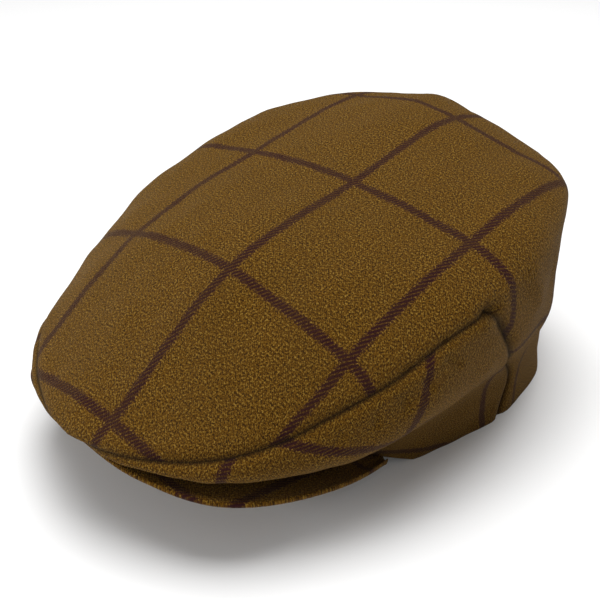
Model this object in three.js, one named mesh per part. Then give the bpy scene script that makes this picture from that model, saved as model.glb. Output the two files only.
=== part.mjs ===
// A flat cap of tweed cloth: a top panel that runs over the crown and down the back,
// two side panels that bulge over and tuck in under it, and a stiff curved peak.
// Millimetres, +Z up. The front is -Y, the wearer's left is +X, and the cap rests on z = 0.
import * as THREE from "three";

// Driving sizes
const crownLength = 261;
const crownWidth = 206;
const crownHeight = 102;
const clothWall = 1.6;
const seamGap = 0.5;
const peakThickness = 2.6;
const peakClearance = 0.9;
const peakUnderlap = 2;
const peakSag = 2;
const peakSpan = 70;

// Colours of the cloth
const topColour = 0x6b4f22;
const sideColour = 0x644a20;
const peakColour = 0x5c431f;
const clothRoughness = 0.95;

// How finely the cloth is divided
const sideSteps = 24;
const backSteps = 18;
const topRings = 11;
const wallRows = 10;
const peakSteps = 36;

// Sections of the crown, one row each 30 degrees from the front round the wearer's left.
// A section is a smooth profile from the middle of the top down to the head opening.
// Out is a share of half the crown's length and width, up is a share of its height.
const crownSections = [
  ["topOut", "topUp", "edgeOut", "edgeUp", "sideOut", "sideUp",
    "foldOut", "foldUp", "tuckOut", "tuckUp", "rimOut", "rimUp"],
  [0.49, 0.96, 0.87, 0.53, 1.05, 0.46, 1.03, 0.38, 0.84, 0.37, 0.58, 0.36],
  [0.49, 0.95, 0.87, 0.6, 1.03, 0.43, 1.05, 0.345, 0.86, 0.335, 0.62, 0.305],
  [0.49, 0.94, 0.9, 0.73, 0.99, 0.52, 1.01, 0.355, 0.76, 0.19, 0.68, 0.155],
  [0.49, 0.96, 0.95, 0.9, 0.93, 0.72, 0.95, 0.475, 0.7, 0.25, 0.73, -0.11],
  [0.5, 1.04, 1.01, 1.04, 0.93, 0.84, 0.97, 0.4, 0.88, 0.27, 0.92, -0.03],
  [0.51, 1.14, 0.93, 0.92, 0.96, 0.84, 0.98, 0.4, 0.97, 0.25, 0.96, 0],
  [0.52, 1.2, 0.84, 1.05, 0.93, 0.79, 0.95, 0.43, 0.92, 0.23, 0.95, 0],
  [0.51, 1.13, 0.95, 1.05, 0.97, 0.85, 0.97, 0.4, 0.94, 0.25, 0.95, 0],
  [0.5, 1.03, 1, 1.02, 0.94, 0.84, 0.98, 0.41, 0.86, 0.26, 0.91, -0.03],
  [0.49, 0.96, 0.94, 0.87, 0.93, 0.7, 0.96, 0.46, 0.71, 0.24, 0.74, -0.11],
  [0.49, 0.93, 0.89, 0.73, 0.97, 0.48, 1.01, 0.355, 0.76, 0.19, 0.68, 0.155],
  [0.49, 0.95, 0.87, 0.6, 1.04, 0.43, 1.05, 0.345, 0.86, 0.335, 0.62, 0.305],
];
const profileRings = ["top", "edge", "side", "fold", "tuck", "rim"];
const rimStation = profileRings.length;

// Dents and pulls of the cloth: where they lie on the crown, how far they reach,
// and how deep they are as a share of the crown's height.
const clothDents = [
  ["turn", "station", "turnReach", "stationReach", "depth"],
  [-90, 2.2, 6, 0.5, -0.01],
  [-68, 2.3, 6, 0.5, -0.008],
  [-33, 3.1, 8, 0.6, 0.014],
  [-172, 1.9, 8, 0.5, 0.022],
  [100, 3.2, 7, 0.6, 0.018],
  [122, 3.3, 9, 0.6, -0.012],
  [62, 3.3, 5, 0.4, -0.012],
  [72, 3.4, 5, 0.4, 0.01],
];

// The seam under the top panel, from the middle of the front to the rear seam,
// as stations down the profile: 0 is the middle of the top and 6 is the head opening.
const seamStations = [3.9, 3.4, 3.17, 3.04, 2.87, 2.67, 2.57, 2.45, 2.5];

// The rear seam, from the top panel's corner down to the head opening, in degrees from the front.
const rearSeamTurns = [86, 91, 96, 104, 111, 107];

// The outer edge of the peak, from its far end round the front to its near end.
const peakEdge = [
  ["out", "up"],
  [0.74, 0.075],
  [0.955, 0.23],
  [1.05, 0.31],
  [1.015, 0.345],
  [0.995, 0.355],
  [1.025, 0.34],
  [1.045, 0.295],
  [0.95, 0.22],
  [0.74, 0.075],
];

// The peak's section, from its inner edge along the top, round the outer edge and back.
const peakSection = [
  ["across", "level"],
  [0, 1],
  [0.4, 1],
  [0.75, 1],
  [0.95, 1],
  [0.985, 0.6],
  [1, 0],
  [0.985, -0.6],
  [0.95, -1],
  [0.75, -1],
  [0.4, -1],
  [0, -1],
];

const crown = columnsOf(crownSections);
const dents = rowsOf(clothDents);
const edge = columnsOf(peakEdge);
const section = rowsOf(peakSection);

function rowsOf([names, ...rows]) {
  return rows.map((row) => Object.fromEntries(names.map((name, i) => [name, row[i]])));
}

function columnsOf([names, ...rows]) {
  return Object.fromEntries(names.map((name, i) => [name, rows.map((row) => row[i])]));
}

function cubicWeights(f) {
  return [
    (1 - f) ** 3 / 6,
    (3 * f ** 3 - 6 * f ** 2 + 4) / 6,
    (-3 * f ** 3 + 3 * f ** 2 + 3 * f + 1) / 6,
    f ** 3 / 6,
  ];
}

// A smooth closed curve drawn by values that stand evenly round the crown.
function roundCurve(values, turn) {
  const count = values.length;
  const place = (((turn / 360) % 1) + 1) * count;
  const first = Math.floor(place);
  return cubicWeights(place - first).reduce(
    (sum, weight, i) => sum + weight * values[(first + i - 1) % count],
    0,
  );
}

// A smooth open curve through values that stand evenly from share 0 to share 1.
function openCurve(values, share) {
  const last = values.length - 1;
  const place = THREE.MathUtils.clamp(share, 0, 1) * last;
  const first = Math.min(Math.floor(place), last - 1);
  const before = values[first - 1] ?? 2 * values[0] - values[1];
  const after = values[first + 2] ?? 2 * values[last] - values[last - 1];
  const f = place - first;
  const bend = 2 * before - 5 * values[first] + 4 * values[first + 1] - after;
  const twist = 3 * (values[first] - values[first + 1]) + after - before;
  return values[first] + 0.5 * ((values[first + 1] - before) * f + bend * f ** 2 + twist * f ** 3);
}

// The profile's control points at a turn. The first lies past the middle of the top
// and the last under the head opening, so the curve passes the middle and ends at the rim.
function profileAt(turn) {
  const rings = profileRings.map((ring) => ({
    out: roundCurve(crown[`${ring}Out`], turn),
    up: roundCurve(crown[`${ring}Up`], turn),
  }));
  const beyond = {
    out: -roundCurve(crown.topOut, turn + 180),
    up: roundCurve(crown.topUp, turn + 180),
  };
  const crest = {
    out: -(rings[0].out + beyond.out) / 4,
    up: (6 - rings[0].up - beyond.up) / 4,
  };
  const [tuck, rim] = rings.slice(-2);
  rim.up = Math.max(rim.up, 0);
  const under = { out: 2 * rim.out - tuck.out, up: 2 * rim.up - tuck.up };
  return [beyond, crest, ...rings, under];
}

function planPoint(turn, out, z) {
  const angle = THREE.MathUtils.degToRad(turn);
  return new THREE.Vector3(
    (crownWidth / 2) * out * Math.sin(angle),
    (-crownLength / 2) * out * Math.cos(angle),
    z,
  );
}

function crownPoint(turn, station) {
  const first = Math.min(Math.floor(station), rimStation - 1);
  const weights = cubicWeights(station - first);
  const controls = profileAt(turn).slice(first, first + 4);
  const blend = (key) => controls.reduce((sum, control, i) => sum + weights[i] * control[key], 0);
  return planPoint(turn, blend("out"), crownHeight * blend("up"));
}

// The way out of the cloth. At the rim it is level, so the edge of the cloth stands flat.
function crownNormal(turn, station) {
  const step = 0.02;
  const place = THREE.MathUtils.clamp(station, 2 * step, rimStation - step);
  const down = crownPoint(turn, place + step).sub(crownPoint(turn, place - step));
  const around = crownPoint(turn + 1, place).sub(crownPoint(turn - 1, place));
  const normal = down.cross(around);
  if (station >= rimStation) normal.z = 0;
  return normal.normalize();
}

function dentDepth(turn, station) {
  return dents.reduce((sum, dent) => {
    const aside = ((turn - dent.turn + 540) % 360) - 180;
    const along = (aside / dent.turnReach) ** 2;
    const down = ((station - dent.station) / dent.stationReach) ** 2;
    return sum + dent.depth * crownHeight * Math.exp(-along - down);
  }, 0);
}

// A point of the cloth, a given depth in from its outer face and never under the table.
function clothPoint({ turn, station }, depth) {
  const point = crownPoint(turn, station);
  point.addScaledVector(crownNormal(turn, station), dentDepth(turn, station) - depth);
  point.z = Math.max(point.z, 0);
  return point;
}

const rearCorner = rearSeamTurns[0];

function seamStation(turn) {
  const aside = Math.abs(((turn + 540) % 360) - 180);
  return openCurve(seamStations, aside / rearCorner);
}

// Half of the gap between two panels, in stations down the profile and in degrees round it.
function halfGapDown(turn, station) {
  const step = 0.01;
  const length = crownPoint(turn, station + step).distanceTo(crownPoint(turn, station));
  return ((seamGap / 2) * step) / length;
}

function halfGapRound(turn, station) {
  const step = 0.1;
  const length = crownPoint(turn + step, station).distanceTo(crownPoint(turn, station));
  return ((seamGap / 2) * step) / length;
}

// The rear seam's turn and station at a share of the way down.
function rearSeam(share) {
  return {
    turn: openCurve(rearSeamTurns, share),
    station: THREE.MathUtils.lerp(seamStation(rearCorner), rimStation, share),
  };
}

// Joins rows of spots by triangles that face out.
function joinRows(faces, upper, lower) {
  for (let i = 0; i + 1 < upper.length; i += 1) {
    faces.push([upper[i], lower[i], lower[i + 1]]);
    faces.push([upper[i], lower[i + 1], upper[i + 1]]);
  }
}

// The top panel: rings round the middle of the top, then rows down the back.
function topPanelSheet() {
  const spots = [{ turn: 0, station: 0 }];
  const faces = [];
  const addRow = (row) => row.map((spot) => spots.push(spot) - 1);
  const corner = rearCorner + halfGapRound(rearCorner, seamStation(rearCorner));
  const turns = [];
  for (let i = 0; i < sideSteps; i += 1) turns.push((corner * i) / sideSteps);
  for (let i = 0; i < backSteps; i += 1) {
    turns.push(THREE.MathUtils.lerp(corner, 360 - corner, i / backSteps));
  }
  for (let i = 0; i < sideSteps; i += 1) turns.push(360 - corner + (corner * i) / sideSteps);
  let ring = turns.map(() => 0);
  for (let k = 1; k <= topRings; k += 1) {
    const next = addRow(
      turns.map((turn) => {
        const seam = seamStation(turn);
        return { turn, station: ((seam - halfGapDown(turn, seam)) * k) / topRings };
      }),
    );
    if (k === 1) next.forEach((spot, i) => faces.push([0, spot, next[(i + 1) % next.length]]));
    else joinRows(faces, [...ring, ring[0]], [...next, next[0]]);
    ring = next;
  }
  let row = ring.slice(sideSteps, sideSteps + backSteps + 1);
  for (let k = 1; k <= wallRows; k += 1) {
    const seam = rearSeam(k / wallRows);
    const left = seam.turn + halfGapRound(seam.turn, seam.station);
    const next = addRow(
      row.map((_, i) => ({
        turn: THREE.MathUtils.lerp(left, 360 - left, i / backSteps),
        station: seam.station,
      })),
    );
    joinRows(faces, row, next);
    row = next;
  }
  return { spots, faces };
}

// A side panel: from the middle of the front to the rear seam, on the side given by its sign.
function sidePanelSheet(side) {
  const spots = [];
  const faces = [];
  let row = [];
  for (let k = 0; k <= wallRows; k += 1) {
    const share = k / wallRows;
    const rear = rearSeam(share);
    const next = [];
    for (let i = 0; i <= sideSteps; i += 1) {
      const middle = THREE.MathUtils.lerp(0, rear.turn, i / sideSteps);
      const seam = seamStation(middle);
      const upper = seam + halfGapDown(middle, seam);
      const station = THREE.MathUtils.lerp(upper, rimStation, share);
      const inset = halfGapRound(middle, station) * (1 - (2 * i) / sideSteps);
      next.push(spots.push({ turn: side * (middle + inset), station }) - 1);
    }
    if (side < 0) next.reverse();
    if (k > 0) joinRows(faces, row, next);
    row = next;
  }
  return { spots, faces };
}

function meshOf(name, points, faces, colour) {
  const geometry = new THREE.BufferGeometry();
  geometry.setAttribute(
    "position",
    new THREE.Float32BufferAttribute(points.flatMap((point) => point.toArray()), 3),
  );
  geometry.setIndex(faces.flat());
  geometry.computeVertexNormals();
  const material = new THREE.MeshStandardMaterial({
    color: colour,
    roughness: clothRoughness,
    metalness: 0,
  });
  const mesh = new THREE.Mesh(geometry, material);
  mesh.name = name;
  return mesh;
}

// A panel of cloth: its outer face, its inner face and a strip round each open edge.
function panelOf(name, { spots, faces }, colour) {
  const outer = spots.map((spot) => clothPoint(spot, 0));
  const inner = spots.map((spot) => clothPoint(spot, clothWall));
  const count = spots.length;
  const joined = new Set();
  for (const [a, b, c] of faces) {
    joined.add(`${a} ${b}`).add(`${b} ${c}`).add(`${c} ${a}`);
  }
  const walls = [];
  for (const edgeKey of joined) {
    const [a, b] = edgeKey.split(" ").map(Number);
    if (!joined.has(`${b} ${a}`)) walls.push([b, a, a + count], [b, a + count, b + count]);
  }
  const insides = faces.map(([a, b, c]) => [a + count, c + count, b + count]);
  return meshOf(name, [...outer, ...inner], [...faces, ...insides, ...walls], colour);
}

// A point of the peak. Its inner edge lies just under the rim of the crown,
// and between its edges it sags a little, clear of the crown.
function peakPoint(share, across, level) {
  const turn = share * peakSpan;
  const rim = crownPoint(turn, rimStation);
  rim.addScaledVector(crownNormal(turn, rimStation), -peakUnderlap);
  rim.z -= peakClearance + peakThickness / 2;
  const place = (share + 1) / 2;
  const outer = planPoint(turn, openCurve(edge.out, place), crownHeight * openCurve(edge.up, place));
  const point = rim.lerp(outer, across);
  point.z -= 4 * peakSag * across * (1 - across);
  point.z = Math.max(point.z + (level * peakThickness) / 2, 0);
  return point;
}

function peak() {
  const points = [];
  const faces = [];
  let loop = [];
  for (let i = 0; i <= peakSteps; i += 1) {
    const share = (2 * i) / peakSteps - 1;
    const next = section.map(({ across, level }) => points.push(peakPoint(share, across, level)) - 1);
    if (i > 0) joinRows(faces, [...next, next[0]], [...loop, loop[0]]);
    loop = next;
  }
  const last = loop[0];
  for (let k = 1; k + 1 < section.length; k += 1) {
    faces.push([0, k + 1, k]);
    faces.push([last, last + k, last + k + 1]);
  }
  return meshOf("peak", points, faces, peakColour);
}

const cap = new THREE.Group();
cap.add(panelOf("crown_top", topPanelSheet(), topColour));
cap.add(panelOf("side_panel_left", sidePanelSheet(1), sideColour));
cap.add(panelOf("side_panel_right", sidePanelSheet(-1), sideColour));
cap.add(peak());

// The cap's own box is centred over the origin, with its lowest point on z = 0.
const box = new THREE.Box3().setFromObject(cap, true);
const middle = box.getCenter(new THREE.Vector3());
cap.position.set(-middle.x, -middle.y, -box.min.z);

export default cap;
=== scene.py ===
"""A flat cap of checked tweed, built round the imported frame."""

import math

import bpy
import numpy as np
from bpy.props import FloatProperty, FloatVectorProperty, PointerProperty
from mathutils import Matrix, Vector
from mathutils.kdtree import KDTree


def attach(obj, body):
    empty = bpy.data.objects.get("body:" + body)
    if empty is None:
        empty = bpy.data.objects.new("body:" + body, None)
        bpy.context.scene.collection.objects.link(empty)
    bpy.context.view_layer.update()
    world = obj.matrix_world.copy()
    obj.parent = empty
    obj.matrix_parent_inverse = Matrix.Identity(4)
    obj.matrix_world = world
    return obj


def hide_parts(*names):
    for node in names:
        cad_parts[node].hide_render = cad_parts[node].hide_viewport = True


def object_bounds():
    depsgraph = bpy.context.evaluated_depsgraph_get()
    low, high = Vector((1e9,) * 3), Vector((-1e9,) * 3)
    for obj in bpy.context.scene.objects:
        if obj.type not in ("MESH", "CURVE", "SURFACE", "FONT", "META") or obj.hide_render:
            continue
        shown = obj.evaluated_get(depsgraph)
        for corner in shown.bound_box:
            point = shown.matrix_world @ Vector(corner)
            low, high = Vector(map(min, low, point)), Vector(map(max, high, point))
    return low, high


bl_info = {
    "name": "Flat cap",
    "version": (1, 0, 0),
    "blender": (4, 5, 0),
    "location": "View3D > Sidebar > Flat cap",
    "description": "Builds a flat cap of checked tweed with a stiff peak",
    "category": "Object",
}

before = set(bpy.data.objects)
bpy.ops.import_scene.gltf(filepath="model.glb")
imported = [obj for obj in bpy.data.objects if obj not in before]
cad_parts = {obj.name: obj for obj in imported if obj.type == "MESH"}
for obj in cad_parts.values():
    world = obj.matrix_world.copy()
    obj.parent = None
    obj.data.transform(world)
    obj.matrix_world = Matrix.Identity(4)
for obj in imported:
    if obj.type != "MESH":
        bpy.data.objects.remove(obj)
CAD_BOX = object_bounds()

MM = 0.001

# Sections of the crown, one row each 30 degrees from the front round the wearer's left.
# Out is a share of half the crown's length and width, up is a share of its height.
RINGS = ("top", "edge", "side", "fold", "tuck", "rim")
CROWN_SECTIONS = (
    # top out, up, edge out, up, side out, up, fold out, up, tuck out, up, rim out, up
    (0.49, 0.96, 0.87, 0.53, 1.05, 0.46, 1.03, 0.38, 0.84, 0.37, 0.58, 0.36),
    (0.49, 0.95, 0.87, 0.6, 1.03, 0.43, 1.05, 0.345, 0.86, 0.335, 0.62, 0.305),
    (0.49, 0.94, 0.9, 0.73, 0.99, 0.52, 1.01, 0.355, 0.76, 0.19, 0.68, 0.155),
    (0.49, 0.96, 0.95, 0.9, 0.93, 0.72, 0.95, 0.475, 0.7, 0.25, 0.73, -0.11),
    (0.5, 1.04, 1.01, 1.04, 0.93, 0.84, 0.97, 0.4, 0.88, 0.27, 0.92, -0.03),
    (0.51, 1.14, 0.93, 0.92, 0.96, 0.84, 0.98, 0.4, 0.97, 0.25, 0.96, 0),
    (0.52, 1.2, 0.84, 1.05, 0.93, 0.79, 0.95, 0.43, 0.92, 0.23, 0.95, 0),
    (0.51, 1.13, 0.95, 1.05, 0.97, 0.85, 0.97, 0.4, 0.94, 0.25, 0.95, 0),
    (0.5, 1.03, 1, 1.02, 0.94, 0.84, 0.98, 0.41, 0.86, 0.26, 0.91, -0.03),
    (0.49, 0.96, 0.94, 0.87, 0.93, 0.7, 0.96, 0.46, 0.71, 0.24, 0.74, -0.11),
    (0.49, 0.93, 0.89, 0.73, 0.97, 0.48, 1.01, 0.355, 0.76, 0.19, 0.68, 0.155),
    (0.49, 0.95, 0.87, 0.6, 1.04, 0.43, 1.05, 0.345, 0.86, 0.335, 0.62, 0.305),
)
FOLD_STATION = 4.0
RIM_STATION = 6.0

# The seam under the top panel, from the middle of the front to the rear seam, as stations
# down the profile, and the rear seam from there down to the rim, in degrees from the front.
SEAM_STATIONS = (3.9, 3.4, 3.17, 3.04, 2.87, 2.67, 2.57, 2.45, 2.5)
REAR_SEAM_TURNS = (86, 91, 96, 104, 111, 107)

# The outer edge of the peak from its far end round the front to its near end.
PEAK_EDGE_OUT = (0.73, 0.945, 1.05, 1.015, 0.995, 1.025, 1.045, 0.94, 0.73)
PEAK_EDGE_UP = (0.075, 0.23, 0.31, 0.345, 0.355, 0.34, 0.295, 0.22, 0.075)

# Broad dents: turn, station, reach in degrees, reach in stations, depth as a share of height.
DENTS = (
    (-90, 2.2, 6, 0.5, -0.01),
    (-68, 2.3, 6, 0.5, -0.008),
    (-33, 3.1, 8, 0.6, 0.014),
    (-172, 1.9, 8, 0.5, 0.022),
    (100, 3.2, 7, 0.6, 0.018),
    (122, 3.3, 9, 0.6, -0.012),
    (62, 3.3, 5, 0.4, -0.012),
    (72, 3.4, 5, 0.4, 0.01),
)

# How far the dark line of painted shade in a seam reaches, and the dark spot of painted shade where
# the seams meet
SEAM_SHADE_REACH = 1.1 * MM
CORNER_SHADE_REACH = 3.2 * MM
CORNER_SHADE_DEPTH = 0.8

# The soft swell beside a seam: its middle and its reach as shares of the seam's reach, and its
# height as a share of the seam's depth
SWELL_MIDDLE = 2.6
SWELL_REACH = 1.6
SWELL_HEIGHT = 0.25

# Lengths of the broad and the fine waves of the cloth, and the fine ones' share of the height
BROAD_WAVE = 0.03
FINE_WAVE = 0.011
FINE_WAVE_SHARE = 0.35

# How the peak is held at the rim: how far it reaches under it, and the gap above it
PEAK_UNDERLAP = 2.0 * MM
PEAK_CLEARANCE = 0.9 * MM

# How the check lies askew on a side panel. Lengthwise lines fall towards the back, crosswise
# lines lean above the fold, and the cloth is drawn in below it.
LENGTHWISE_SKEW = 0.39
CROSSWISE_SKEW = 0.35
DRAWN_IN = 1.61

# Creases of the cloth: from turn and station, to turn and station, half width in millimetres,
# and depth in millimetres, below nought for a valley and above it for a ridge.
CREASES = (
    (70, 2.75, 72, 3.15, 1.6, -0.9),
    (66, 2.8, 67, 3.3, 1.8, -0.9),
    (61, 2.85, 61, 3.3, 1.8, -0.8),
    (75, 2.7, 79, 3.1, 1.6, -0.9),
    (55, 2.95, 53, 3.4, 2.0, -0.7),
    (68, 2.45, 67, 2.6, 2.2, -0.6),
    (76, 2.35, 75, 2.52, 2.2, -0.6),
    (88, 2.9, 95, 3.6, 3.0, -1.2),
    (98, 2.4, 104, 3.4, 3.5, 1.6),
    (112, 2.6, 116, 3.6, 4.0, -1.4),
    (83, 2.35, 89, 2.6, 3.0, -1.1),
)


class CapShape(bpy.types.PropertyGroup):
    crown_length: FloatProperty(
        name="Crown length", description="Front to back, over the sections' shares",
        default=0.261, unit="LENGTH",
    )
    crown_width: FloatProperty(
        name="Crown width", description="Side to side, over the sections' shares",
        default=0.206, unit="LENGTH",
    )
    crown_height: FloatProperty(
        name="Crown height", description="From the table up, over the sections' shares",
        default=0.102, unit="LENGTH",
    )
    cloth_wall: FloatProperty(
        name="Cloth thickness", description="The two layers of cloth in each panel",
        default=0.0016, unit="LENGTH",
    )
    peak_thickness: FloatProperty(
        name="Peak thickness", description="The board and the cloth over it",
        default=0.0026, unit="LENGTH",
    )
    peak_span: FloatProperty(
        name="Peak span", description="How far round from the front the peak reaches",
        default=math.radians(70), subtype="ANGLE",
    )
    peak_sag: FloatProperty(
        name="Peak sag", description="How far the peak sags between its edges",
        default=0.002, unit="LENGTH",
    )
    seam_depth: FloatProperty(
        name="Seam depth", description="How deep the cloth dips into a seam",
        default=0.0013, unit="LENGTH",
    )
    seam_reach: FloatProperty(
        name="Seam reach", description="How far from a seam the cloth dips",
        default=0.0021, unit="LENGTH",
    )
    wave_height: FloatProperty(
        name="Wave height", description="Height of the soft waves of the cloth",
        default=0.00045, unit="LENGTH",
    )


class TweedLook(bpy.types.PropertyGroup):
    warp_colour: FloatVectorProperty(
        name="Warp yarn", description="Colour of the lengthwise yarn",
        default=(0.118, 0.051, 0.0015), size=3, subtype="COLOR",
    )
    weft_colour: FloatVectorProperty(
        name="Weft yarn", description="Colour of the crosswise yarn",
        default=(0.048, 0.019, 0.0015), size=3, subtype="COLOR",
    )
    check_colour: FloatVectorProperty(
        name="Check yarn", description="Colour of the windowpane lines",
        default=(0.022, 0.0035, 0.006), size=3, subtype="COLOR",
    )
    fleck_colour: FloatVectorProperty(
        name="Pale flecks", description="Colour of the lightest fibres",
        default=(0.29, 0.175, 0.03), size=3, subtype="COLOR",
    )
    pane_width: FloatProperty(
        name="Pane width", description="Between the lengthwise lines of the check",
        default=0.0613, unit="LENGTH",
    )
    pane_length: FloatProperty(
        name="Pane length", description="Between the crosswise lines of the check",
        default=0.0719, unit="LENGTH",
    )
    line_width: FloatProperty(
        name="Line width", description="Width of a line of the check",
        default=0.0042, unit="LENGTH",
    )
    twill_pitch: FloatProperty(
        name="Twill pitch", description="Between the diagonal ribs of the weave",
        default=0.0011, unit="LENGTH",
    )
    roughness: FloatProperty(
        name="Roughness", description="Roughness of the woollen cloth",
        default=0.92, min=0, max=1,
    )
    sheen: FloatProperty(
        name="Sheen", description="How much the fuzz catches the light",
        default=0.12, min=0, max=1,
    )


class StageLook(bpy.types.PropertyGroup):
    azimuth: FloatProperty(
        name="Azimuth", description="Camera angle round from the front",
        default=math.radians(43.56), subtype="ANGLE",
    )
    elevation: FloatProperty(
        name="Elevation", description="Camera angle above the floor",
        default=math.radians(31.16), subtype="ANGLE",
    )
    distance: FloatProperty(
        name="Distance", description="From the camera to its target",
        default=0.4323, unit="LENGTH",
    )
    target: FloatVectorProperty(
        name="Target", description="The point that the camera looks at",
        default=(0.0, 0.0052, 0.04), size=3, subtype="TRANSLATION", unit="LENGTH",
    )
    lens: FloatProperty(name="Lens", description="Focal length in millimetres", default=56.28)
    shift: FloatVectorProperty(
        name="Shift", description="Camera shift across and up", default=(-0.03, 0.0032), size=2,
    )
    floor_colour: FloatVectorProperty(
        name="Floor", description="Colour of the floor",
        default=(0.9, 0.9, 0.9), size=3, subtype="COLOR",
    )
    sky_strength: FloatProperty(
        name="Sky strength", description="Light from all round", default=0.3,
    )


def shape():
    return bpy.context.scene.cap_shape


# The crown as a surface

def weights_of(f):
    """The four weights of a uniform cubic B-spline."""
    return np.stack([
        (1 - f) ** 3 / 6,
        (3 * f ** 3 - 6 * f ** 2 + 4) / 6,
        (-3 * f ** 3 + 3 * f ** 2 + 3 * f + 1) / 6,
        f ** 3 / 6,
    ], -1)


def round_curve(values, turn):
    """A smooth closed curve drawn by values that stand evenly round the crown."""
    values = np.asarray(values, float)
    place = np.mod(np.asarray(turn, float) / 360, 1) * len(values)
    first = np.floor(place).astype(int)
    near = (first[..., None] + np.arange(-1, 3)) % len(values)
    return (values[near] * weights_of(place - first)).sum(-1)


def open_curve(values, share):
    """A smooth open curve through values that stand evenly from share 0 to share 1."""
    values = np.asarray(values, float)
    ends = np.concatenate([[2 * values[0] - values[1]], values, [2 * values[-1] - values[-2]]])
    last = len(values) - 1
    place = np.clip(np.asarray(share, float), 0, 1) * last
    first = np.minimum(np.floor(place).astype(int), last - 1)
    f = place - first
    a, b, c, d = (ends[first + i] for i in range(4))
    bend = 2 * a - 5 * b + 4 * c - d
    twist = 3 * (b - c) + d - a
    return b + 0.5 * ((c - a) * f + bend * f ** 2 + twist * f ** 3)


def profile_shares(turn, station):
    """Out and up of the crown's surface, as shares of its sizes."""
    turn, station = np.broadcast_arrays(np.asarray(turn, float), np.asarray(station, float))
    columns = np.asarray(CROWN_SECTIONS, float).T
    outs = [round_curve(columns[2 * i], turn) for i in range(len(RINGS))]
    ups = [round_curve(columns[2 * i + 1], turn) for i in range(len(RINGS))]
    ups[-1] = np.maximum(ups[-1], 0)
    far_out = -round_curve(columns[0], turn + 180)
    far_up = round_curve(columns[1], turn + 180)
    outs = [far_out, -(outs[0] + far_out) / 4, *outs, 2 * outs[-1] - outs[-2]]
    ups = [far_up, (6 - ups[0] - far_up) / 4, *ups, 2 * ups[-1] - ups[-2]]
    first = np.clip(np.floor(station).astype(int), 0, len(RINGS) - 1)
    weights = weights_of(station - first)
    near = first[..., None] + np.arange(4)
    out = (np.take_along_axis(np.stack(outs, -1), near, -1) * weights).sum(-1)
    up = (np.take_along_axis(np.stack(ups, -1), near, -1) * weights).sum(-1)
    return out, up


def crown_point(turn, station):
    """Points of the crown, in metres, before they are moved into the frame."""
    out, up = profile_shares(turn, station)
    angle = np.radians(turn)
    sizes = shape()
    return np.stack([
        sizes.crown_width / 2 * out * np.sin(angle),
        -sizes.crown_length / 2 * out * np.cos(angle),
        sizes.crown_height * up,
    ], -1)


def unit(vectors):
    return vectors / np.maximum(np.linalg.norm(vectors, axis=-1, keepdims=True), 1e-12)


def crown_normal(turn, station):
    """The way out of the cloth, level at the rim so that the cloth's edge stands flat."""
    step = 0.02
    place = np.clip(station, 2 * step, RIM_STATION - step)
    down = crown_point(turn, place + step) - crown_point(turn, place - step)
    around = crown_point(turn + 1, place) - crown_point(turn - 1, place)
    normal = unit(np.cross(down, around))
    level = np.clip((station - 5.85) / 0.15, 0, 1)[..., None] * np.array([0, 0, 1.0])
    return unit(normal - normal * level)


def aside_of(turn):
    return np.abs(np.mod(np.asarray(turn, float) + 180, 360) - 180)


def seam_station(turn):
    return open_curve(SEAM_STATIONS, aside_of(turn) / REAR_SEAM_TURNS[0])


def rear_seam(share):
    """Turn and station of the rear seam at a share of the way down."""
    turn = open_curve(REAR_SEAM_TURNS, share)
    top = float(seam_station(REAR_SEAM_TURNS[0]))
    return turn, top + (RIM_STATION - top) * share


def line_points(turns, stations, count):
    """Points of a line on the crown, straight in turn and station."""
    share = np.linspace(0, 1, count)
    return crown_point(np.interp(share, [0, 1], turns), np.interp(share, [0, 1], stations))


def distance_to(points, line):
    """The distance of each point from the nearest point of a line."""
    tree = KDTree(len(line))
    for i, spot in enumerate(line):
        tree.insert(spot, i)
    tree.balance()
    return np.array([tree.find(point)[2] for point in points])


def waves(points, size, count, seed):
    """A smooth uneven field between about -1 and 1, made of waves that run every way."""
    rng = np.random.default_rng(seed)
    ways = unit(rng.normal(size=(count, 3)))
    lengths = size * rng.uniform(0.7, 1.9, count)
    phases = rng.uniform(0, 2 * math.pi, count)
    total = sum(
        np.sin(points @ way * (2 * math.pi / length) + phase)
        for way, length, phase in zip(ways, lengths, phases)
    )
    return total / math.sqrt(count)


def seam_lines():
    """Points along the lengthwise seams and the rear seams."""
    rear = REAR_SEAM_TURNS[0]
    turns = np.linspace(-rear, rear, 900)
    long_seam = crown_point(turns, seam_station(turns))
    share = np.linspace(0, 1, 240)
    turn, station = rear_seam(share)
    return long_seam, np.concatenate([crown_point(side * turn, station) for side in (-1, 1)])


def painted_seam_shade(points):
    """Painted shade in the hollows of the seams: 1 in the line of a seam and 0 away from it, and a
    wider spot where the seams meet.
    """
    shade = np.zeros(len(points))
    for line in seam_lines():
        shade = np.maximum(shade, np.exp(-(distance_to(points, line) / SEAM_SHADE_REACH) ** 2))
    for side in (-1, 1):
        corner = crown_point(side * REAR_SEAM_TURNS[0], seam_station(REAR_SEAM_TURNS[0]))
        gap = np.linalg.norm(points - corner, axis=-1)
        spot = CORNER_SHADE_DEPTH * np.exp(-(gap / CORNER_SHADE_REACH) ** 2)
        shade = np.maximum(shade, spot)
    return shade


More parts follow.
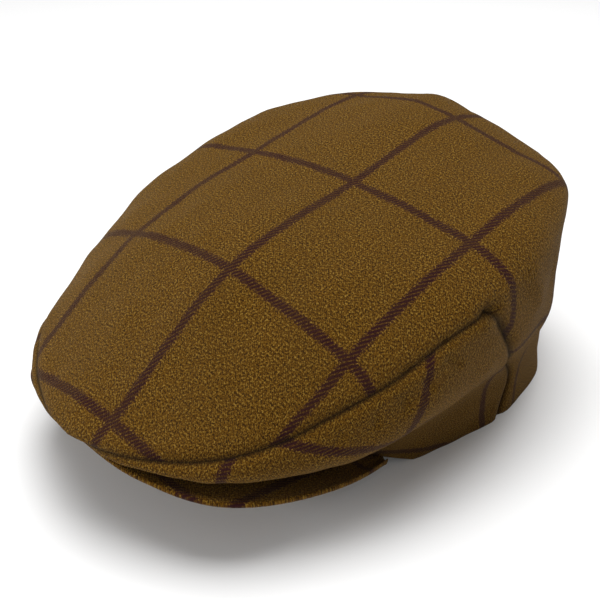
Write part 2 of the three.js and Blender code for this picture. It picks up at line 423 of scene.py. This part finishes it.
def relief(points, turn, station):
    """How far the cloth stands out of the plain crown, in metres."""
    sizes = shape()
    rise = np.zeros(len(points))
    for dent_turn, dent_station, turn_reach, station_reach, depth in DENTS:
        across = (np.mod(turn - dent_turn + 180, 360) - 180) / turn_reach
        down = (station - dent_station) / station_reach
        rise += depth * sizes.crown_height * np.exp(-across ** 2 - down ** 2)
    for line in seam_lines():
        gap = distance_to(points, line)
        rise -= sizes.seam_depth * np.exp(-(gap / sizes.seam_reach) ** 2)
        swell = (gap - SWELL_MIDDLE * sizes.seam_reach) / (SWELL_REACH * sizes.seam_reach)
        rise += SWELL_HEIGHT * sizes.seam_depth * np.exp(-swell ** 2)
    for from_turn, from_station, to_turn, to_station, half_width, depth in CREASES:
        line = line_points((from_turn, to_turn), (from_station, to_station), 24)
        share = np.linspace(-1, 1, len(line))
        gap = np.linalg.norm(points[:, None] - line[None], axis=-1)
        nearest = gap.argmin(1)
        fade = 1 - share[nearest] ** 4
        rise += depth * MM * fade * np.exp(-(gap.min(1) / (half_width * MM)) ** 2)
    rise += sizes.wave_height * waves(points, BROAD_WAVE, 18, 3)
    rise += FINE_WAVE_SHARE * sizes.wave_height * waves(points, FINE_WAVE, 18, 5)
    return rise


# The weave's own coordinates

def height_map():
    """Arc lengths across and along the top, on a level grid."""
    sizes = shape()
    half_width, half_length = sizes.crown_width / 2, sizes.crown_length / 2
    xs = np.linspace(-1.02, 1.02, 161) * half_width
    ys = np.linspace(-1.02, 1.02, 205) * half_length
    x, y = np.meshgrid(xs, ys, indexing="ij")
    turn = np.degrees(np.arctan2(x / half_width, -y / half_length))
    reach = np.hypot(x / half_width, y / half_length)
    low, high = np.zeros_like(reach), np.full_like(reach, 3.0)
    for _ in range(16):
        middle = (low + high) / 2
        inside = profile_shares(turn, middle)[0] < reach
        low, high = np.where(inside, middle, low), np.where(inside, high, middle)
    out, up = profile_shares(turn, (low + high) / 2)
    z = sizes.crown_height * up - np.clip(reach - out - 0.01, 0, None) * 0.4
    dx, dy = xs[1] - xs[0], ys[1] - ys[0]
    du = np.minimum(np.hypot(dx, np.diff(z, axis=0)), 3 * dx)
    u = np.concatenate([np.zeros((1, len(ys))), np.cumsum(du, 0)])
    u -= u[len(xs) // 2]
    dv = np.minimum(np.hypot(dy, np.diff(z, axis=1)), 3 * dy)
    v = np.concatenate([np.zeros((len(xs), 1)), np.cumsum(dv, 1)], 1)
    v -= v[:, len(ys) // 2][:, None]
    return xs, ys, u, v


def read_map(xs, ys, field, x, y):
    """A grid's value at points between its lines."""
    fx = np.clip((x - xs[0]) / (xs[1] - xs[0]), 0, len(xs) - 1.001)
    fy = np.clip((y - ys[0]) / (ys[1] - ys[0]), 0, len(ys) - 1.001)
    i, j = fx.astype(int), fy.astype(int)
    a, b = fx - i, fy - j
    near = field[i, j] * (1 - a) + field[i + 1, j] * a
    far = field[i, j + 1] * (1 - a) + field[i + 1, j + 1] * a
    return near * (1 - b) + far * b


def arc_table(turns):
    """Stations, and arc length down the profile for each turn."""
    stations = np.linspace(0, RIM_STATION, 181)
    points = crown_point(turns[:, None], stations[None])
    steps = np.linalg.norm(np.diff(points, axis=1), axis=-1)
    return stations, np.concatenate([np.zeros((len(turns), 1)), np.cumsum(steps, 1)], 1), points


def shoulder_stations(stations, points):
    """Where each profile first falls at 45 degrees."""
    across = np.linalg.norm(np.diff(points[..., :2], axis=1), axis=-1)
    fall = -np.diff(points[..., 2], axis=1)
    steep = (fall > across) & (stations[None, 1:] > 1.3)
    first = np.where(steep.any(1), steep.argmax(1), len(stations) - 2)
    return np.clip(stations[first], 1.3, 2.7)


def top_weave(turn, station):
    """Across and along the top panel's cloth, in metres."""
    xs, ys, u_map, v_map = height_map()
    around = np.linspace(-180, 180, 361)
    stations, arcs, points = arc_table(around)
    shoulder_all = round_smooth(shoulder_stations(stations, points))
    wrapped = np.mod(turn + 180, 360) - 180
    shoulder = np.interp(wrapped, around, shoulder_all)
    base = np.minimum(station, shoulder)
    spot = crown_point(turn, base)
    u = read_map(xs, ys, u_map, spot[..., 0], spot[..., 1])
    v = read_map(xs, ys, v_map, spot[..., 0], spot[..., 1])
    beyond = read_map(around, stations, arcs, wrapped, station)
    beyond = beyond - read_map(around, stations, arcs, wrapped, base)
    angle = np.radians(turn)
    sizes = shape()
    way = unit(np.stack([np.sin(angle) / sizes.crown_width, -np.cos(angle) / sizes.crown_length], -1))
    return u + beyond * way[..., 0], v + beyond * way[..., 1]


def round_smooth(values, reach=9):
    """Evens out values that stand round a circle."""
    ring = values[:-1]
    kernel = np.hanning(2 * reach + 3)[1:-1]
    kernel /= kernel.sum()
    long = np.concatenate([ring[-reach:], ring, ring[:reach]])
    even = np.convolve(long, kernel, "valid")
    return np.concatenate([even, even[:1]])


def side_weave(turn, station):
    """Along a side panel's fold and up from it, in metres, askew as the check lies on it."""
    around = np.linspace(-180, 180, 361)
    stations, arcs, points = arc_table(around)
    fold = crown_point(around, np.full_like(around, FOLD_STATION))
    steps = np.linalg.norm(np.diff(fold, axis=0), axis=-1)
    along = np.concatenate([[0], np.cumsum(steps)])
    along -= along[len(along) // 2]
    wrapped = np.mod(turn + 180, 360) - 180
    up = read_map(around, stations, arcs, wrapped, np.full_like(wrapped, FOLD_STATION))
    up = up - read_map(around, stations, arcs, wrapped, station)
    along = np.abs(np.interp(wrapped, around, along))
    drawn = np.where(up < 0, up * DRAWN_IN, up)
    return along - CROSSWISE_SKEW * np.maximum(up, 0), drawn + LENGTHWISE_SKEW * along


# Meshes

def frame_shift():
    """How far the plain crown moves to stand in the frame's box."""
    turn, station = np.meshgrid(np.arange(0, 360, 3.0), np.linspace(1, RIM_STATION, 60))
    points = crown_point(turn.ravel(), station.ravel())
    middle = (points.min(0) + points.max(0)) / 2
    low, high = (np.array(corner) for corner in CAD_BOX)
    shift = (low + high) / 2 - middle
    shift[2] = 0
    return shift


def closed_mesh(name, outer, inner, faces, weave):
    """A mesh with an outer and an inner face, joined by a strip round each open edge."""
    count = len(outer)
    joined = set()
    for face in faces:
        joined.update(zip(face, face[1:] + face[:1]))
    walls = [
        (b, a, a + count, b + count) for a, b in sorted(joined) if (b, a) not in joined
    ]
    insides = [tuple(i + count for i in reversed(face)) for face in faces]
    mesh = bpy.data.meshes.new(name)
    mesh.from_pydata(np.concatenate([outer, inner]).tolist(), [], [*faces, *insides, *walls])
    mesh.update()
    # The cloth attribute carries the weave's two numbers and a third, the painted shade of the seams
    cloth = mesh.attributes.new("cloth", "FLOAT_VECTOR", "POINT")
    cloth.data.foreach_set("vector", np.concatenate([weave, weave]).ravel())
    mesh.shade_smooth()
    piece = bpy.data.objects.new(name, mesh)
    bpy.context.scene.collection.objects.link(piece)
    return piece


def join_rows(faces, upper, lower):
    """Four-cornered faces between two rows of spots."""
    for i in range(len(upper) - 1):
        faces.append((upper[i], lower[i], lower[i + 1], upper[i + 1]))


def cloth_points(turn, station):
    """Outer and inner points of a panel's cloth, in the frame."""
    points = crown_point(turn, station)
    normals = crown_normal(turn, station)
    rise = relief(points, turn, station)[:, None]
    shift = frame_shift()
    outer = points + normals * rise
    inner = outer - normals * shape().cloth_wall
    for side in (outer, inner):
        side[:, 2] = np.maximum(side[:, 2], 0)
    return outer + shift, inner + shift


def eased(count):
    """Shares from 0 to 1 that stand closer together near 1."""
    share = np.arange(1, count + 1) / count
    return 1 - (1 - share) ** 1.35


def top_panel_spots():
    """Turns, stations and faces of the top panel."""
    side_steps, back_steps, rings, rows = 96, 96, 100, 56
    corner = REAR_SEAM_TURNS[0] + 0.01
    turns = np.concatenate([
        corner * np.arange(side_steps) / side_steps,
        np.linspace(corner, 360 - corner, back_steps, endpoint=False),
        360 - corner + corner * np.arange(side_steps) / side_steps,
    ])
    spots = [(0.0, 0.0)]
    faces = []
    seam = seam_station(turns) - 0.004
    ring = None
    for share in eased(rings):
        start = len(spots)
        spots.extend(zip(turns, seam * share))
        following = list(range(start, len(spots)))
        if ring is None:
            for i, spot in enumerate(following):
                faces.append((0, spot, following[(i + 1) % len(following)]))
        else:
            join_rows(faces, [*ring, ring[0]], [*following, following[0]])
        ring = following
    row = ring[side_steps:side_steps + back_steps + 1]
    for k in range(1, rows + 1):
        turn, station = rear_seam(k / rows)
        start = len(spots)
        line = np.linspace(turn + 0.01, 360 - turn - 0.01, back_steps + 1)
        spots.extend((value, float(station)) for value in line)
        following = list(range(start, len(spots)))
        join_rows(faces, row, following)
        row = following
    spots = np.array(spots)
    return spots[:, 0], spots[:, 1], faces


def side_panel_spots(side):
    """Turns, stations and faces of a side panel, on the side given by its sign."""
    columns, rows = 180, 96
    spots = []
    faces = []
    row = None
    for k in range(rows + 1):
        share = (k / rows) ** 1.15
        rear_turn, _ = rear_seam(share)
        turns = np.linspace(0.01, float(rear_turn) - 0.01, columns + 1)
        upper = seam_station(turns) + 0.004
        upper = np.where(turns > REAR_SEAM_TURNS[0], seam_station(REAR_SEAM_TURNS[0]), upper)
        start = len(spots)
        spots.extend(zip(side * turns, upper + (RIM_STATION - upper) * share))
        following = list(range(start, len(spots)))
        if side < 0:
            following.reverse()
        if row is not None:
            join_rows(faces, row, following)
        row = following
    spots = np.array(spots)
    return spots[:, 0], spots[:, 1], faces


def peak_points():
    """Points, faces and weave of the peak."""
    sizes = shape()
    steps, across_steps = 160, 44
    span = math.degrees(sizes.peak_span)
    half = sizes.peak_thickness / 2
    top = [(i / across_steps, 1.0) for i in range(across_steps)]
    lip = [(1.0, math.cos(math.radians(a))) for a in range(0, 181, 15)]
    section = top + lip + [(share, -1.0) for share, _ in reversed(top)]
    share = np.linspace(-1, 1, steps + 1)
    turn = share * span
    rim = crown_point(turn, np.full_like(turn, RIM_STATION))
    rim = rim - crown_normal(turn, np.full_like(turn, RIM_STATION)) * PEAK_UNDERLAP
    rim[:, 2] -= PEAK_CLEARANCE + half
    place = (share + 1) / 2
    out = open_curve(PEAK_EDGE_OUT, place)
    angle = np.radians(turn)
    edge = np.stack([
        sizes.crown_width / 2 * out * np.sin(angle),
        -sizes.crown_length / 2 * out * np.cos(angle),
        sizes.crown_height * open_curve(PEAK_EDGE_UP, place),
    ], -1)
    rows = []
    weave = []
    width = np.linalg.norm(edge - rim, axis=-1)
    for across, level in section:
        inward = half * (1 - math.sqrt(max(1 - level ** 2, 0))) if across == 1.0 else half
        inner_share = across - (inward / width if across == 1.0 else across * half / width)
        points = rim + (edge - rim) * inner_share[:, None]
        points[:, 2] -= 4 * sizes.peak_sag * inner_share * (1 - inner_share)
        points[:, 2] += level * half
        rows.append(points)
        weave.append(points[:, :2])
    points = np.stack(rows, 1).reshape(-1, 3)
    points[:, 2] = np.maximum(points[:, 2], 0)
    weave = np.stack(weave, 1).reshape(-1, 2)
    count = len(section)
    faces = []
    for i in range(steps):
        a, b = i * count, (i + 1) * count
        for k in range(count):
            n = (k + 1) % count
            faces.append((b + k, a + k, a + n, b + n))
    faces.append(tuple(reversed(range(count))))
    faces.append(tuple(steps * count + k for k in range(count)))
    return points, faces, weave


# Shading

class Wire:
    """A node's output that takes part in Python expressions."""

    def __init__(self, paint, socket):
        self.paint = paint
        self.socket = socket

    def maths(self, operation, *others):
        return self.paint.node("ShaderNodeMath", {"operation": operation}, (self, *others))

    def flipped(self, operation, other):
        return self.paint.node("ShaderNodeMath", {"operation": operation}, (other, self))

    def __add__(self, other):
        return self.maths("ADD", other)

    def __radd__(self, other):
        return self.flipped("ADD", other)

    def __sub__(self, other):
        return self.maths("SUBTRACT", other)

    def __rsub__(self, other):
        return self.flipped("SUBTRACT", other)

    def __mul__(self, other):
        return self.maths("MULTIPLY", other)

    def __rmul__(self, other):
        return self.flipped("MULTIPLY", other)

    def __truediv__(self, other):
        return self.maths("DIVIDE", other)

    def __abs__(self):
        return self.maths("ABSOLUTE")

    def fraction(self):
        return self.maths("FRACT")

    def kept(self):
        """Held between 0 and 1."""
        return self.maths("MAXIMUM", 0.0).maths("MINIMUM", 1.0)

    def ramped(self, low, high):
        """0 at low and 1 at high, held between them."""
        return ((self - low) / (high - low)).kept()


class Paint:
    """A material whose nodes are added by expressions."""

    def __init__(self, name):
        self.material = bpy.data.materials.new(name)
        self.material.use_nodes = True
        self.tree = self.material.node_tree
        self.tree.nodes.clear()

    def node(self, kind, settings=None, values=(), output=0):
        """Adds a node: its settings first, then the values or links of its sockets."""
        node = self.tree.nodes.new(kind)
        for key, value in (settings or {}).items():
            setattr(node, key, value)
        pairs = values.items() if isinstance(values, dict) else enumerate(values)
        for key, value in pairs:
            if isinstance(value, Wire):
                self.tree.links.new(value.socket, node.inputs[key])
            else:
                node.inputs[key].default_value = value
        return Wire(self, node.outputs[output]) if node.outputs else None

    def noise(self, vector, scale, detail=2.0, roughness=0.5):
        return self.node(
            "ShaderNodeTexNoise",
            {"noise_dimensions": "3D"},
            {"Vector": vector, "Scale": scale, "Detail": detail, "Roughness": roughness},
        )

    def vector(self, x, y, z=0.0):
        return self.node("ShaderNodeCombineXYZ", None, (x, y, z))

    def parts(self, vector):
        """The three numbers of a vector."""
        node = self.node("ShaderNodeSeparateXYZ", None, (vector,)).socket.node
        return [Wire(self, output) for output in node.outputs]

    def mixed(self, share, first, second):
        """A colour between two colours."""
        return self.node(
            "ShaderNodeMix", {"data_type": "RGBA", "clamp_factor": True},
            {0: share, 6: first, 7: second}, 2,
        )

    def finish(self, surface):
        self.node("ShaderNodeOutputMaterial", None, {"Surface": surface})
        return self.material


# The yarn's finish: sizes in metres, and colours of its fuzz, its darker clouds and the painted shade
# in its seams
YARN_DRIFT = 0.9 * MM
LINE_SOFTNESS = 0.6 * MM
LINE_RAGGEDNESS = 4.0 * MM
WEAVE_RELIEF = 0.35 * MM
FUZZ_TINT = (0.9, 0.66, 0.36)
CLOUD_COLOUR = (0.06, 0.03, 0.006)
PAINTED_SEAM_SHADE_COLOUR = (0.008, 0.004, 0.002)


def opaque(colour):
    return (*colour, 1.0)


def checked_tweed(name):
    """Woollen twill of mixed fibres, with a windowpane check of darker yarn."""
    look = bpy.context.scene.tweed_look
    paint = Paint(name)
    cloth = paint.node("ShaderNodeAttribute", {"attribute_name": "cloth"}, (), 1)
    # seam is the painted shade of the seams, carried as the cloth attribute's third number
    u, v, seam = paint.parts(cloth)
    place = paint.node("ShaderNodeTexCoord", None, (), 3)
    drift = paint.noise(place, 180.0, 1.0) - 0.5
    u_yarn = u + drift * YARN_DRIFT
    v_yarn = v + drift * YARN_DRIFT

    rib = ((u_yarn + v_yarn) / look.twill_pitch).fraction()
    rib = abs(rib - 0.5) * 2.0
    tuft = paint.noise(paint.vector(u * 1250.0, v * 1250.0), 1.0, 2.0, 0.6)
    fibre = paint.noise(paint.vector(u * 2600.0, v * 1700.0, 7.0), 1.0, 2.0, 0.7)
    grain = (tuft * 0.65 + fibre * 0.35 + rib * 0.05).ramped(0.425, 0.645)
    cloud = paint.noise(place, 55.0, 3.0, 0.55)

    ground = paint.mixed(grain.ramped(0.1, 0.6), opaque(look.weft_colour),
                         opaque(look.warp_colour))
    ground = paint.mixed(grain.ramped(0.6, 1.0) * 0.8, ground, opaque(look.fleck_colour))
    dark = tuple(0.3 * c for c in look.weft_colour)
    ground = paint.mixed(grain.ramped(0.28, 0.0) * 0.8, ground, opaque(dark))

    half = look.line_width / 2
    across = abs(((u_yarn / look.pane_width) + 0.5).fraction() - 0.5) * look.pane_width
    along = abs(((v_yarn / look.pane_length) + 0.5).fraction() - 0.5) * look.pane_length
    ragged = (tuft - 0.5) * LINE_RAGGEDNESS
    long_line = (across + ragged).ramped(half + LINE_SOFTNESS, half - LINE_SOFTNESS)
    cross_line = (along + ragged).ramped(half + LINE_SOFTNESS, half - LINE_SOFTNESS)
    slope = ((u_yarn * 0.8 - v_yarn * 0.5) / (1.3 * look.twill_pitch)).fraction()
    dashes = (abs(slope - 0.5) * 2.0).ramped(0.2, 0.55)
    line = (long_line * (0.5 + dashes * 0.5)).maths(
        "MAXIMUM", cross_line * (0.5 + dashes * 0.5)
    )
    checked = paint.mixed(line * (0.75 + fibre * 0.5), ground, opaque(look.check_colour))
    clouded = paint.mixed(cloud.ramped(0.35, 0.65) * 0.15, checked, opaque(CLOUD_COLOUR))
    # Painted shade: the cloth is darkened into the seams and the spot where they meet
    shade = paint.mixed(seam * 0.75, clouded, opaque(PAINTED_SEAM_SHADE_COLOUR))

    lift = rib * 0.4 + grain * 0.9
    bump = paint.node("ShaderNodeBump", None, {
        "Strength": 0.85, "Distance": WEAVE_RELIEF, "Height": lift,
    })
    rough = look.roughness - fibre * 0.12
    surface = paint.node("ShaderNodeBsdfPrincipled", None, {
        "Base Color": shade,
        "Roughness": rough,
        "Specular IOR Level": 0.08,
        "Sheen Weight": look.sheen,
        "Sheen Roughness": 0.4,
        "Sheen Tint": opaque(FUZZ_TINT),
        "Normal": bump,
    })
    return paint.finish(surface)


def tweed():
    return bpy.data.materials.get("checked_tweed") or checked_tweed("checked_tweed")


def plain_paint(name, colour, roughness):
    paint = Paint(name)
    surface = paint.node("ShaderNodeBsdfPrincipled", None, {
        "Base Color": opaque(colour), "Roughness": roughness, "Specular IOR Level": 0.2,
    })
    return paint.finish(surface)


# How far the check's lengthwise and crosswise lines are moved on each panel's cloth, in millimetres
TOP_CHECK = (14.8, 6.1)
SIDE_CHECK = (50.0, 61.5)
PEAK_CHECK = (2.2, 23.8)


def place_panel(piece, node):
    piece.data.materials.append(tweed())
    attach(piece, "root")
    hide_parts(node)


class CAP_OT_crown_top(bpy.types.Operator):
    """Adds the top panel, which runs over the crown and down the back"""

    bl_idname = "cap.crown_top"
    bl_label = "Crown top"

    def execute(self, context):
        turn, station, faces = top_panel_spots()
        outer, inner = cloth_points(turn, station)
        u, v = top_weave(turn, station)
        # The third number is the painted shade in the seams and where they meet
        shade = painted_seam_shade(crown_point(turn, station))
        weave = np.stack([u - TOP_CHECK[0] * MM, v - TOP_CHECK[1] * MM, shade], -1)
        piece = closed_mesh("crown_top_cloth", outer, inner, faces, weave)
        place_panel(piece, "crown_top")
        return {"FINISHED"}


class CAP_OT_side_panels(bpy.types.Operator):
    """Adds the two side panels, which bulge over the fold and tuck in to the rim"""

    bl_idname = "cap.side_panels"
    bl_label = "Side panels"

    def execute(self, context):
        for side, name in ((1, "left"), (-1, "right")):
            turn, station, faces = side_panel_spots(side)
            outer, inner = cloth_points(turn, station)
            along, up = side_weave(turn, station)
            # The third number is the painted shade in the seams and where they meet
            shade = painted_seam_shade(crown_point(turn, station))
            weave = np.stack([up - SIDE_CHECK[0] * MM, along - SIDE_CHECK[1] * MM, shade], -1)
            piece = closed_mesh(f"side_panel_{name}_cloth", outer, inner, faces, weave)
            place_panel(piece, f"side_panel_{name}")
        return {"FINISHED"}


class CAP_OT_peak(bpy.types.Operator):
    """Adds the stiff peak, covered in the same cloth"""

    bl_idname = "cap.peak"
    bl_label = "Peak"

    def execute(self, context):
        points, faces, weave = peak_points()
        shift = frame_shift()
        mesh = bpy.data.meshes.new("peak_cloth")
        mesh.from_pydata((points + shift).tolist(), [], faces)
        mesh.update()
        cloth = mesh.attributes.new("cloth", "FLOAT_VECTOR", "POINT")
        values = np.column_stack([weave - np.array(PEAK_CHECK) * MM, np.zeros(len(weave))])
        cloth.data.foreach_set("vector", values.ravel())
        mesh.shade_smooth()
        piece = bpy.data.objects.new("peak_cloth", mesh)
        context.scene.collection.objects.link(piece)
        place_panel(piece, "peak")
        return {"FINISHED"}


# The soft lamps: name, place in metres, size in metres and power in watts
LIGHTS = (
    ("top_light", (-0.1, 0.15, 1.5), 1.1, 26.0),
    ("front_light", (-0.3, -1.5, 0.55), 0.7, 9.0),
)
FLOOR_HALF = 3.0
SENSOR_WIDTH = 36.0


def add_light(name, place, target, size, power):
    light = bpy.data.lights.new(name, "AREA")
    light.size = size
    light.energy = power
    lamp = bpy.data.objects.new(name, light)
    lamp.location = place
    lamp.rotation_euler = (Vector(target) - Vector(place)).to_track_quat("-Z", "Y").to_euler()
    bpy.context.scene.collection.objects.link(lamp)


class CAP_OT_stage(bpy.types.Operator):
    """Adds the floor, the soft light and the camera"""

    bl_idname = "cap.stage"
    bl_label = "Stage"

    def execute(self, context):
        look = context.scene.stage_look
        half = FLOOR_HALF
        mesh = bpy.data.meshes.new("floor")
        corners = [(-half, -half, 0), (half, -half, 0), (half, half, 0), (-half, half, 0)]
        mesh.from_pydata(corners, [], [(0, 1, 2, 3)])
        mesh.materials.append(plain_paint("pale_floor", look.floor_colour, 0.8))
        floor = bpy.data.objects.new("floor", mesh)
        context.scene.collection.objects.link(floor)

        world = bpy.data.worlds.new("soft_sky")
        world.use_nodes = True
        world.node_tree.nodes["Background"].inputs[0].default_value = (1, 1, 1, 1)
        world.node_tree.nodes["Background"].inputs[1].default_value = look.sky_strength
        context.scene.world = world

        target = Vector(look.target)
        for name, place, size, power in LIGHTS:
            add_light(name, place, target, size, power)
        context.scene.view_settings.view_transform = "Standard"

        camera = bpy.data.cameras.new("camera")
        camera.lens = look.lens
        camera.sensor_width = SENSOR_WIDTH
        camera.shift_x, camera.shift_y = look.shift
        eye = bpy.data.objects.new("camera", camera)
        away = Vector((
            math.sin(look.azimuth) * math.cos(look.elevation),
            -math.cos(look.azimuth) * math.cos(look.elevation),
            math.sin(look.elevation),
        ))
        eye.location = target + away * look.distance
        eye.rotation_euler = away.to_track_quat("Z", "Y").to_euler()
        context.scene.collection.objects.link(eye)
        context.scene.camera = eye
        return {"FINISHED"}


class CAP_PT_panel(bpy.types.Panel):
    """Lists the cap's sizes, colours and pieces"""

    bl_label = "Flat cap"
    bl_idname = "CAP_PT_panel"
    bl_space_type = "VIEW_3D"
    bl_region_type = "UI"
    bl_category = "Flat cap"

    def draw(self, context):
        for group in (context.scene.cap_shape, context.scene.tweed_look, context.scene.stage_look):
            box = self.layout.box()
            for name in group.__annotations__:
                box.prop(group, name)
        for operator in OPERATORS:
            self.layout.operator(operator.bl_idname)


OPERATORS = (CAP_OT_stage, CAP_OT_crown_top, CAP_OT_side_panels, CAP_OT_peak)
CLASSES = (CapShape, TweedLook, StageLook, *OPERATORS, CAP_PT_panel)


def register():
    for each in CLASSES:
        bpy.utils.register_class(each)
    bpy.types.Scene.cap_shape = PointerProperty(type=CapShape)
    bpy.types.Scene.tweed_look = PointerProperty(type=TweedLook)
    bpy.types.Scene.stage_look = PointerProperty(type=StageLook)


def unregister():
    del bpy.types.Scene.stage_look
    del bpy.types.Scene.tweed_look
    del bpy.types.Scene.cap_shape
    for each in reversed(CLASSES):
        bpy.utils.unregister_class(each)


def main():
    register()
    bpy.ops.cap.stage()
    bpy.ops.cap.crown_top()
    bpy.ops.cap.side_panels()
    bpy.ops.cap.peak()


if __name__ == "__main__":
    main()
